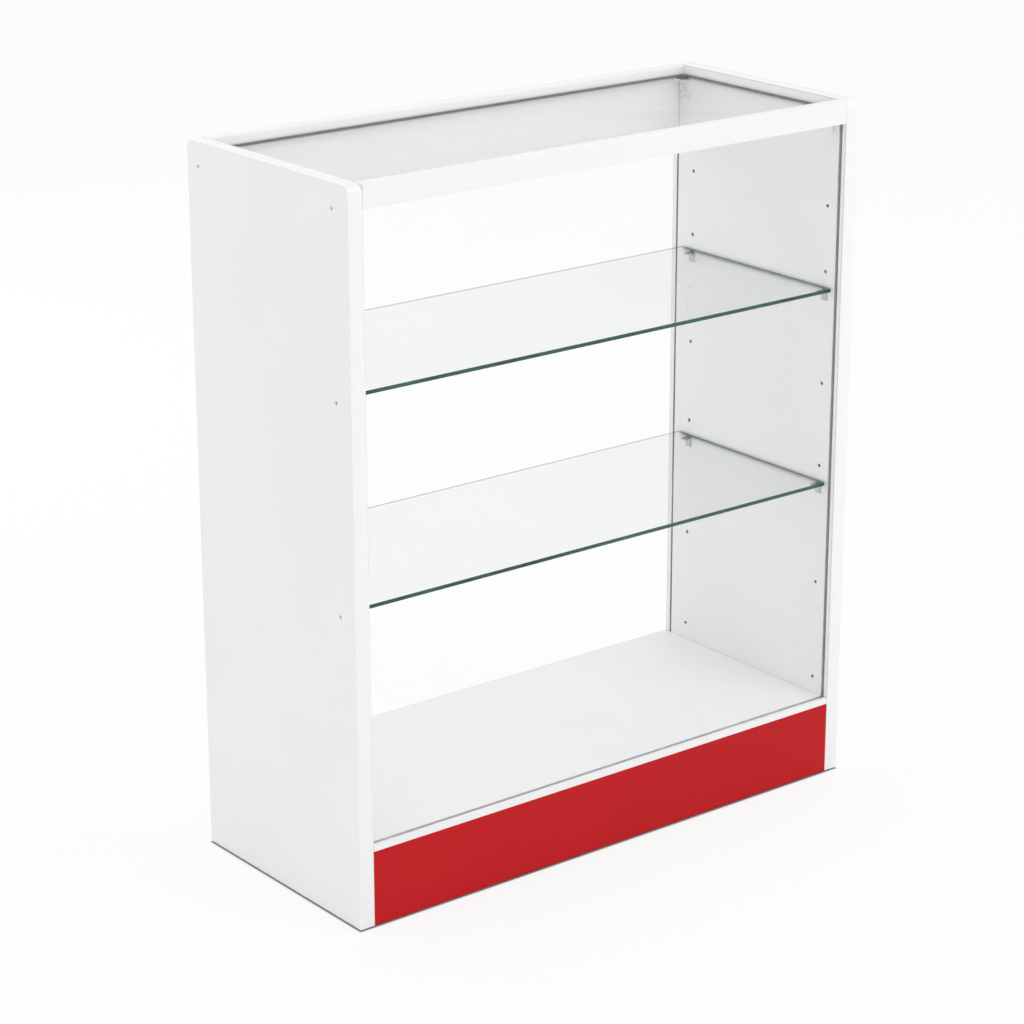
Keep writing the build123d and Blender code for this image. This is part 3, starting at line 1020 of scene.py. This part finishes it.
@dataclass
class SideBoards(SubAssembly):
    """The two side boards and the bands round their edges."""

    # painted shade along the band's inner edge, where it meets the board's inner face
    band: Finish = BandedEdge("white_side_band", BAND_WHITE, joint_shade=Seam(Axis.X, INNER_FACE, dark=0.3))
    band_thickness: float = 1.0 * MM
    band_round: float = 0.7 * MM
    band_round_steps: int = 3
    corner_radius: float = 10.0 * MM
    corner_steps: int = 10

    def build(self) -> None:
        """Both sides, each with its band."""
        for side in Side:
            node = f"side_panel_{side.word}"
            board = FacedBoard(f"white_melamine_{side.word}", BOARD_WHITE, WORN_WHITE, Box.of(node), Axis.X)
            self.dress(node, board)
            self.build_band(side)

    def path(self, box: Box) -> list[tuple[Vector, Vector, Vector]]:
        """The way of a band up the front, over the top and down the back.

        Args:
            box: the box round the band.

        Returns:
            The stations of a sweep.
        """
        across = Vector((1.0, 0.0, 0.0))
        x = box.centre.x
        radius = self.corner_radius
        front, back, up = Vector((0.0, -1.0, 0.0)), Vector((0.0, 1.0, 0.0)), Vector((0.0, 0.0, 1.0))
        stations = [(Vector((x, box.lo.y, box.lo.z)), across, front)]
        for hub_y, start, end in ((box.lo.y + radius, front, up), (box.hi.y - radius, up, back)):
            hub = Vector((x, hub_y, box.hi.z - radius))
            for step in range(self.corner_steps + 1):
                turn = step / self.corner_steps * QUARTER_TURN
                outward = start * math.cos(turn) + end * math.sin(turn)
                stations.append((hub + outward * radius, across, outward))
        stations.append((Vector((x, box.hi.y, box.lo.z)), across, back))
        return stations

    def profile(self, width: float) -> list[Pair]:
        """The band's section, square where it meets the board and rounded outside.

        Args:
            width: the band's width.

        Returns:
            Points as (across, outward) distances.
        """
        half = width / 2
        radius = self.band_round
        points = [(-half, -self.band_thickness)]
        for way in (-1.0, 1.0):
            for step in range(self.band_round_steps + 1):
                turn = step / self.band_round_steps * QUARTER_TURN
                turn = turn if way < 0 else QUARTER_TURN - turn
                points.append((way * (half - radius * (1 - math.cos(turn))), -radius * (1 - math.sin(turn))))
        return points + [(half, -self.band_thickness)]

    def build_band(self, side: Side) -> None:
        """One side's band, with rounded outer edges.

        Args:
            side: the side of the counter.
        """
        node = f"edge_band_{side.word}"
        box = Box.of(node)
        shape = Shape()
        shape.sweep(self.profile(box.size.x), self.path(box))
        self.replace(shape.piece(f"{node}_strip", [self.band]), node, "white_edge")


@dataclass
class Plinth(SubAssembly):
    """The floor board, its bands, the kick boards, their corner blocks and the glides."""

    red: Colour = (0.52, 0.005, 0.009)
    red_worn: Colour = (0.58, 0.03, 0.035)
    front_band: Finish = BandedEdge("white_front_band", BAND_WHITE)
    block: Finish = Moulded("white_block", (0.8, 0.8, 0.78))
    glide: Finish = Moulded("dark_glide", (0.03, 0.03, 0.032), roughness=0.55)
    edge_round: float = 0.35 * MM
    board_round: float = 0.7 * MM
    block_round: float = 1.0 * MM

    def build(self) -> None:
        """Boards, bands, blocks and glides."""
        # painted shade where the floor board and rear kick board meet the side boards
        joint = Seam(Axis.X, INNER_FACE)
        for node, looks in (("floor_board", Axis.Z), ("kick_rear", Axis.Y)):
            board = FacedBoard(
                f"white_melamine_{node}", BOARD_WHITE, WORN_WHITE, Box.of(node), looks, joint_shade=joint,
            )
            self.soften(self.dress(node, board), self.board_round)
        red = FacedBoard(
            "red_melamine", self.red, self.red_worn, Box.of("kick_front"), Axis.Y,
            cloud=0.03, specular=0.18, roughness=0.52,
        )
        self.soften(self.dress("kick_front", red), self.edge_round)
        self.soften(self.dress("floor_edge_band_front", self.front_band), self.edge_round)
        # painted shade along the top of the rear band, where it meets the floor board
        top = Seam(Axis.Z, Box.of("floor_board").hi.z, width=0.7 * MM, dark=0.5)
        rear_band = BandedEdge("white_rear_band", BAND_WHITE, joint_shade=top)
        self.soften(self.dress("floor_edge_band_rear", rear_band), self.edge_round)
        self.soften(self.dress("corner_blocks", self.block), self.block_round)
        self.dress("block_screws", self.screw)
        self.dress("glides", self.glide)


@dataclass
class TopFrame(SubAssembly):
    """The two top rails, the fascia and the brackets that carry the top glass."""

    rail: Finish = Lacquer("white_lacquer", (0.87, 0.87, 0.873))
    # the fascia has a painted shade line where it meets the side boards' inner faces
    fascia: Finish = ThinBoard("white_thin_board", (0.87, 0.87, 0.872), Seam(Axis.X, INNER_FACE))
    bracket: Finish = ZincPlate("zinc_bracket", (0.92, 0.92, 0.92), roughness=0.5)
    pad: Finish = Moulded("grey_pad", (0.16, 0.17, 0.17), roughness=0.6, specular=0.3)
    edge_round: float = 0.4 * MM

    def build(self) -> None:
        """Rails, fascia, brackets, pads and screws."""
        for node in ("front_rail", "rear_rail"):
            self.soften(self.dress(node, self.rail), self.edge_round)
        self.dress("rear_fascia", self.fascia)
        self.soften(self.dress("top_glass_brackets", self.bracket), self.edge_round)
        self.dress("top_glass_pads", self.pad)
        self.dress("bracket_screws", self.screw)


@dataclass
class Glazed(SubAssembly):
    """A sub-assembly with a pane of glass."""

    sharp_degrees: ClassVar[float] = 60.0
    clear: Colour = (0.982, 0.984, 0.983)
    corner: float = 2.0 * MM
    arris: float = 0.7 * MM

    def build_pane(self, node: str, axis: Axis) -> None:
        """Makes a pane with polished edges in place of a node.

        Args:
            node: the node that it stands for.
            axis: the way that its broad faces look.
        """
        box = Box.of(node)
        shape = Shape()
        shape.slab(box, axis, self.corner, self.arris)
        finishes = [GlassFace(f"clear_{node}", self.clear), GlassEdge(f"green_edge_{node}", box, axis)]
        self.replace(shape.piece(f"{node}_pane", finishes, self.sharp_degrees), node, "clear_glass")


@dataclass
class FrontGlazing(Glazed):
    """The fixed front glass with the channel strips that hold it."""

    clear: Colour = (0.997, 0.998, 0.998)
    corner: float = 1.5 * MM
    arris: float = 0.6 * MM
    channel: Finish = Extrusion("channel_grey", (0.62, 0.625, 0.625))

    def build(self) -> None:
        """Channels and the front pane."""
        for place in ("left", "right", "bottom", "top"):
            self.dress(f"glass_channel_{place}", self.channel)
        self.build_pane("front_glass", Axis.Y)


@dataclass
class LoosePane(Glazed):
    """A pane that lies loose, on the body that has its name."""

    def build(self) -> None:
        """The pane alone."""
        self.build_pane(self.body, Axis.Z)


@dataclass
class ShelfFittings(SubAssembly):
    """The supports under the shelves, their pads and the screws that lock the front ones."""

    support: Finish = ZincPlate("zinc_support", (0.55, 0.56, 0.57))
    pad: Finish = Moulded("grey_shelf_pad", (0.3, 0.31, 0.31), roughness=0.4)
    edge_round: float = 0.3 * MM

    def build(self) -> None:
        """Supports, pads and lock screws."""
        self.soften(self.dress("shelf_supports", self.support), self.edge_round)
        self.dress("shelf_support_pads", self.pad)
        self.dress("shelf_lock_screws", self.screw)


@dataclass
class Joinery(SubAssembly):
    """The cams, bolts and dowels that join the boards."""

    cam: Finish = ZincPlate("zinc_cam", (0.6, 0.6, 0.59), roughness=0.42)
    bolt: Finish = ZincPlate("zinc_bolt", (0.7, 0.7, 0.69))
    dowel: Finish = Beech("beech_dowel")

    def build(self) -> None:
        """Cams, bolts and both sizes of dowel."""
        self.dress("cams", self.cam)
        self.dress("cam_bolts", self.bolt)
        for node in ("dowels", "rail_dowels"):
            self.dress(node, self.dowel)


@dataclass(frozen=True)
class Lamp:
    """A large square lamp that looks at the middle of the counter."""

    name: str
    place: Triple
    watts: float
    side: float = 2.2
    in_mirrors: bool = True

    def build(self) -> None:
        """Hangs the lamp in its place."""
        lamp = bpy.data.lights.new(self.name, "AREA")
        lamp.shape = "SQUARE"
        lamp.size = self.side
        lamp.energy = self.watts
        stand = bpy.data.objects.new(self.name, lamp)
        stand.location = self.place
        aim = Vector((0.0, 0.0, CAD_BOUNDS[1].z / 2)) - stand.location
        stand.rotation_euler = aim.to_track_quat("-Z", "Y").to_euler()
        stand.visible_glossy = self.in_mirrors
        bpy.context.scene.collection.objects.link(stand)


@dataclass
class Studio:
    """The floor, the lamps, the world and the camera."""

    floor_side: float = 60.0
    floor_white: Colour = (0.93, 0.93, 0.93)
    floor_grey: Colour = (0.9, 0.9, 0.9)
    floor_grain: float = 0.9
    floor_grain_share: float = 0.04
    # the grey of the painted shade under the counter
    floor_painted_shade: Colour = (0.45, 0.45, 0.45)
    floor_lift: float = 0.84
    footprint_margin: float = 4.0 * MM
    world_light: float = 0.95
    background: float = 0.985
    sky_darker_way: Triple = (0.95, 0.31, 0.0)
    sky_patch: tuple[float, float, float, float] = (0.78, 0.93, 1.0, 0.45)
    lamps: tuple[Lamp, ...] = (
        Lamp("key_softbox", (1.3, -2.6, 2.9), 22.0),
        Lamp("back_softbox", (-0.4, 3.0, 1.9), 18.0, in_mirrors=False),
    )
    glass_passes: int = 24
    camera_place: Triple = (-2.43367, -3.03817, 1.75376)
    camera_yaw: float = 38.3
    camera_pitch: float = 18.89
    camera_roll: float = -0.07
    camera_lens: float = 109.26
    camera_reach: Pair = (0.05, 200.0)
    sensor: float = 36.0

    def build(self) -> None:
        """Everything round the counter."""
        self.build_floor()
        self.build_world()
        for lamp in self.lamps:
            lamp.build()
        self.build_camera()
        bpy.context.scene.view_settings.view_transform = "Standard"
        bpy.context.scene.cycles.transparent_max_bounces = self.glass_passes

    def floor_material(self) -> bpy.types.Material:
        """White that is lifted where it is seen, except in the counter's footprint, which is painted darker
        grey as the shade under the counter.

        Returns:
            The floor's material.
        """
        graph = Paint("studio_floor")
        lo, hi = CAD_BOUNDS
        place = graph.place()
        outside = [graph.minus(graph.math("ABSOLUTE", place[i]), (hi[i] - lo[i]) / 2) for i in range(2)]
        away = graph.span(graph.larger(*outside), 0.0, self.footprint_margin)
        grain = graph.times(graph.noise(self.floor_grain), self.floor_grain_share)
        # painted shade: the floor turns darker grey inside the counter's footprint
        white = graph.mix(away, self.floor_painted_shade, graph.mix(grain, self.floor_white, self.floor_grey))
        matt = graph.add("BsdfDiffuse", {"Color": white}).outputs[0]
        bright = graph.add("Emission", {"Color": PURE_WHITE, "Strength": self.background}).outputs[0]
        rays = graph.add("LightPath").outputs
        mirrored = graph.larger(rays["Is Glossy Ray"], rays["Is Transmission Ray"])
        seen = graph.larger(rays["Is Camera Ray"], mirrored)
        lift = graph.times(graph.times(seen, away), self.floor_lift)
        return graph.finish(graph.mix_shaders(lift, matt, bright))

    def build_floor(self) -> None:
        """A pale floor that shows nearly white but keeps the counter's shadow, with painted shade under the
        counter.
        """
        mesh = bpy.data.meshes.new("studio_floor")
        half = self.floor_side / 2
        corners = [(-half, -half, 0.0), (half, -half, 0.0), (half, half, 0.0), (-half, half, 0.0)]
        mesh.from_pydata(corners, [], [(0, 1, 2, 3)])
        mesh.materials.append(self.floor_material())
        floor = bpy.data.objects.new("studio_floor", mesh)
        bpy.context.scene.collection.objects.link(floor)

    def build_world(self) -> None:
        """Soft light all round, seen as white, with a slightly greyer sky in mirrors."""
        world = bpy.data.worlds.new("studio_world")
        world.use_nodes = True
        bpy.context.scene.world = world
        graph = Graph(world.node_tree, "OutputWorld")
        rays = graph.add("LightPath").outputs
        seen = graph.larger(rays["Is Camera Ray"], rays["Is Transmission Ray"])
        light = graph.between(seen, self.world_light, self.background)
        way = graph.add("TexCoord").outputs["Generated"]
        toward = graph.add("VectorMath", {0: way, 1: self.sky_darker_way}, operation="DOT_PRODUCT")
        patch = graph.span(toward.outputs["Value"], *self.sky_patch)
        light = graph.between(rays["Is Glossy Ray"], light, patch)
        graph.show(graph.add("Background", {"Color": PURE_WHITE, "Strength": light}).outputs[0])

    def build_camera(self) -> None:
        """The camera at the photograph's angle, with no shift."""
        lens = bpy.data.cameras.new("view_camera")
        lens.sensor_width = self.sensor
        lens.lens = self.camera_lens
        lens.clip_start, lens.clip_end = self.camera_reach
        camera = bpy.data.objects.new("view_camera", lens)
        camera.location = self.camera_place
        yaw, pitch, roll = (math.radians(a) for a in (self.camera_yaw, self.camera_pitch, self.camera_roll))
        forward = Vector((math.sin(yaw) * math.cos(pitch), math.cos(yaw) * math.cos(pitch), -math.sin(pitch)))
        turn = forward.to_track_quat("-Z", "Y").to_matrix() @ Matrix.Rotation(roll, 3, "Z")
        camera.rotation_euler = turn.to_euler()
        bpy.context.scene.collection.objects.link(camera)
        bpy.context.scene.camera = camera


def main() -> None:
    """Builds the studio and every sub-assembly in order."""
    logging.basicConfig(level=logging.INFO, format="%(message)s")
    Studio().build()
    assemblies = [
        SideBoards(),
        Plinth(),
        TopFrame(),
        FrontGlazing(),
        LoosePane(body="top_glass"),
        LoosePane(body="upper_shelf", clear=SHELF_CLEAR),
        LoosePane(body="lower_shelf", clear=SHELF_CLEAR),
        ShelfFittings(),
        Joinery(),
    ]
    for assembly in assemblies:
        assembly.build()
        assembly.report()


if __name__ == "__main__":
    main()
